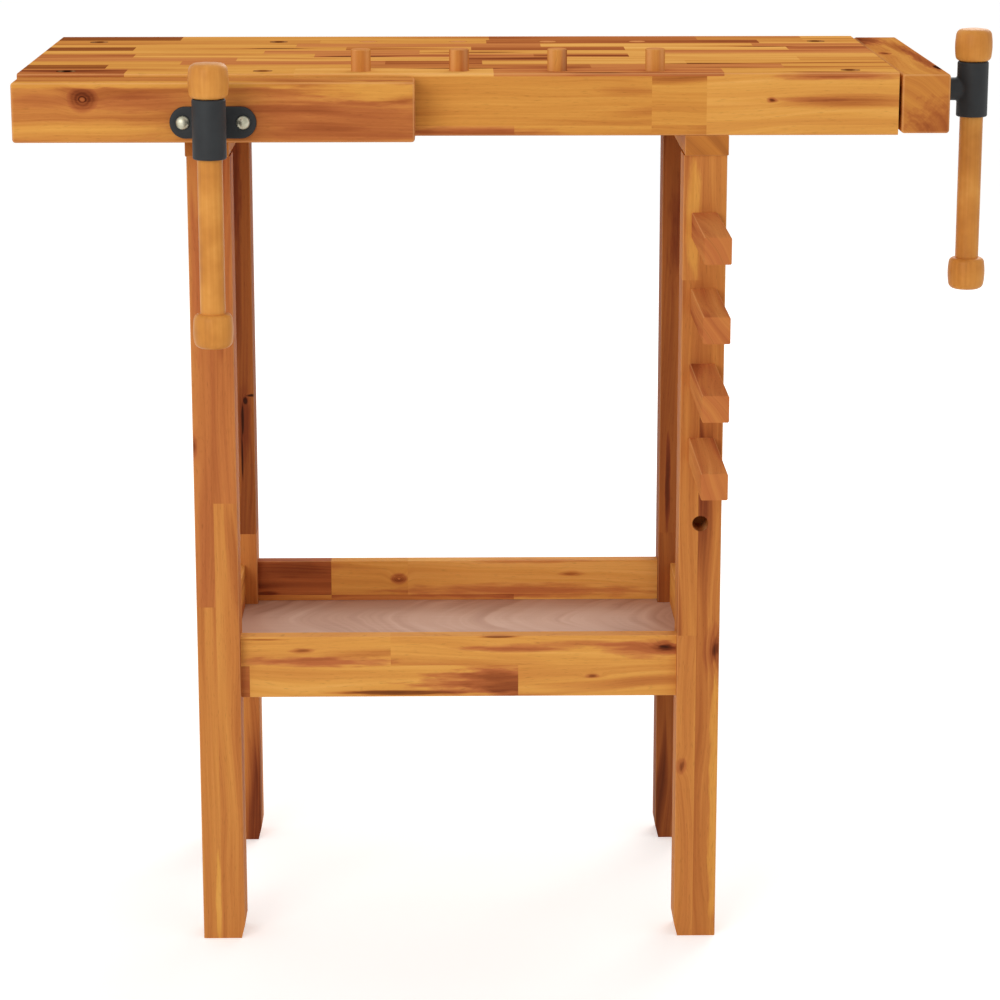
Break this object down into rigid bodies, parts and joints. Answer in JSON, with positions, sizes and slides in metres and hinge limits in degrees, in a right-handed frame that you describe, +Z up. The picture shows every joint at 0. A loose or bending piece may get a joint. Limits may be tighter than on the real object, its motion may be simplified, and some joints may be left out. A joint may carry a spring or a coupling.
{
  "type": "woodworking bench",
  "caption": "Wooden workbench on square legs with a tray shelf, a screw vise along the front, another across the end, round bench dogs and a leg drilled for support pegs.",
  "frame": {"origin": "on the floor, in the middle of the whole bench's plan outline with both vises closed and all pegs in", "axes": "+X along the top towards the end vise, +Y from the front vise to the rear edge, +Z up"},
  "size_m": [0.9144, 0.512, 0.8568],
  "materials": {
    "top_wood": "oiled acacia, satin",
    "frame_wood": "oiled acacia, satin",
    "jaw_wood": "oiled acacia, satin",
    "peg_wood": "oiled acacia, satin",
    "handle_wood": "turned and oiled, satin",
    "dowel_wood": "smooth turned wood",
    "plywood": "sanded plywood, satin",
    "black_iron": "matt charcoal powder coat",
    "zinc_steel": "pale zinc plating",
    "bare_steel": "bright turned steel",
    "bush_plastic": "moulded black plastic"
  },
  "bodies": {
    "bench": {"top_panel": "top_wood", "front_dog_beam": "top_wood", "rear_dog_beam": "top_wood", "left_end_apron": "top_wood", "right_end_apron": "top_wood", "apron_dowels": "dowel_wood", "left_bearer": "frame_wood", "right_bearer": "frame_wood", "front_left_leg": "frame_wood", "rear_left_leg": "frame_wood", "front_right_leg": "frame_wood", "rear_right_leg": "frame_wood", "bearer_screws": "zinc_steel", "leg_dowels": "dowel_wood", "tray_front_rail": "frame_wood", "tray_rear_rail": "frame_wood", "tray_left_rail": "frame_wood", "tray_right_rail": "frame_wood", "tray_panel": "plywood", "rail_dowels": "dowel_wood", "frame_bolts": "zinc_steel", "barrel_nuts": "zinc_steel", "guide_bushes": "bush_plastic", "nut_screws": "zinc_steel", "front_nut_plate": "black_iron", "end_nut_plate": "black_iron"},
    "front_jaw_set": {"front_jaw": "jaw_wood", "front_flange": "black_iron", "front_flange_bolts": "zinc_steel", "front_guide_rods": "bare_steel"},
    "front_screw_set": {"front_screw": "bare_steel", "front_hub": "black_iron", "front_screw_pins": "bare_steel", "front_thrust_collar": "bare_steel"},
    "front_handle": {"front_handle_bar": "handle_wood", "front_upper_knob": "handle_wood", "front_lower_knob": "handle_wood"},
    "end_jaw_set": {"end_jaw": "jaw_wood", "end_flange": "black_iron", "end_flange_bolts": "zinc_steel", "end_guide_rods": "bare_steel"},
    "end_screw_set": {"end_screw": "bare_steel", "end_hub": "black_iron", "end_screw_pins": "bare_steel", "end_thrust_collar": "bare_steel"},
    "end_handle": {"end_handle_bar": "handle_wood", "end_upper_knob": "handle_wood", "end_lower_knob": "handle_wood"},
    "dog_1": {"bench_dog_1": "dowel_wood"},
    "dog_2": {"bench_dog_2": "dowel_wood"},
    "dog_3": {"bench_dog_3": "dowel_wood"},
    "dog_4": {"bench_dog_4": "dowel_wood"},
    "dog_5": {"bench_dog_5": "dowel_wood"},
    "dog_6": {"bench_dog_6": "dowel_wood"},
    "dog_7": {"bench_dog_7": "dowel_wood"},
    "dog_8": {"bench_dog_8": "dowel_wood"},
    "peg_1": {"support_peg_1": "peg_wood"},
    "peg_2": {"support_peg_2": "peg_wood"},
    "peg_3": {"support_peg_3": "peg_wood"},
    "peg_4": {"support_peg_4": "peg_wood"}
  },
  "joints": [
    {"name": "front_jaw_slide", "type": "slide", "parent": "bench", "child": "front_jaw_set", "axis": [0, -1, 0], "range_m": [-0.0027, 0.1095]},
    {"name": "front_screw_turn", "type": "hinge", "parent": "front_jaw_set", "child": "front_screw_set", "pos_m": [-0.27725, -0.2055, 0.7945], "axis": [0, -1, 0], "range_deg": [-162, 6570]},
    {"name": "front_handle_slide", "type": "slide", "parent": "front_screw_set", "child": "front_handle", "axis": [0, 0, 1], "range_m": [0, 0.1374]},
    {"name": "end_jaw_slide", "type": "slide", "parent": "bench", "child": "end_jaw_set", "axis": [1, 0, 0], "range_m": [-0.0027, 0.1095]},
    {"name": "end_screw_turn", "type": "hinge", "parent": "end_jaw_set", "child": "end_screw_set", "pos_m": [0.43925, 0.0735, 0.7985], "axis": [1, 0, 0], "range_deg": [-162, 6570]},
    {"name": "end_handle_slide", "type": "slide", "parent": "end_screw_set", "child": "end_handle", "axis": [0, 0, 1], "range_m": [0, 0.1374]},
    {"name": "dog_1_lift", "type": "slide", "parent": "bench", "child": "dog_1", "axis": [0, 0, 1], "range_m": [-0.02, 0.04]},
    {"name": "dog_2_lift", "type": "slide", "parent": "bench", "child": "dog_2", "axis": [0, 0, 1], "range_m": [-0.02, 0.04]},
    {"name": "dog_3_lift", "type": "slide", "parent": "bench", "child": "dog_3", "axis": [0, 0, 1], "range_m": [-0.02, 0.04]},
    {"name": "dog_4_lift", "type": "slide", "parent": "bench", "child": "dog_4", "axis": [0, 0, 1], "range_m": [-0.02, 0.04]},
    {"name": "dog_5_lift", "type": "slide", "parent": "bench", "child": "dog_5", "axis": [0, 0, 1], "range_m": [0, 0.06]},
    {"name": "dog_6_lift", "type": "slide", "parent": "bench", "child": "dog_6", "axis": [0, 0, 1], "range_m": [0, 0.06]},
    {"name": "dog_7_lift", "type": "slide", "parent": "bench", "child": "dog_7", "axis": [0, 0, 1], "range_m": [0, 0.06]},
    {"name": "dog_8_lift", "type": "slide", "parent": "bench", "child": "dog_8", "axis": [0, 0, 1], "range_m": [0, 0.06]},
    {"name": "peg_1_pull", "type": "slide", "parent": "bench", "child": "peg_1", "axis": [0, -1, 0], "range_m": [0, 0.028]},
    {"name": "peg_2_pull", "type": "slide", "parent": "bench", "child": "peg_2", "axis": [0, -1, 0], "range_m": [0, 0.028]},
    {"name": "peg_3_pull", "type": "slide", "parent": "bench", "child": "peg_3", "axis": [0, -1, 0], "range_m": [0, 0.028]},
    {"name": "peg_4_pull", "type": "slide", "parent": "bench", "child": "peg_4", "axis": [0, -1, 0], "range_m": [0, 0.028]}
  ],
  "couplings": [
    {"joint": "front_jaw_slide", "follows": "front_screw_turn", "m_per_rad": 0.00095493},
    {"joint": "end_jaw_slide", "follows": "end_screw_turn", "m_per_rad": 0.00095493}
  ]
}
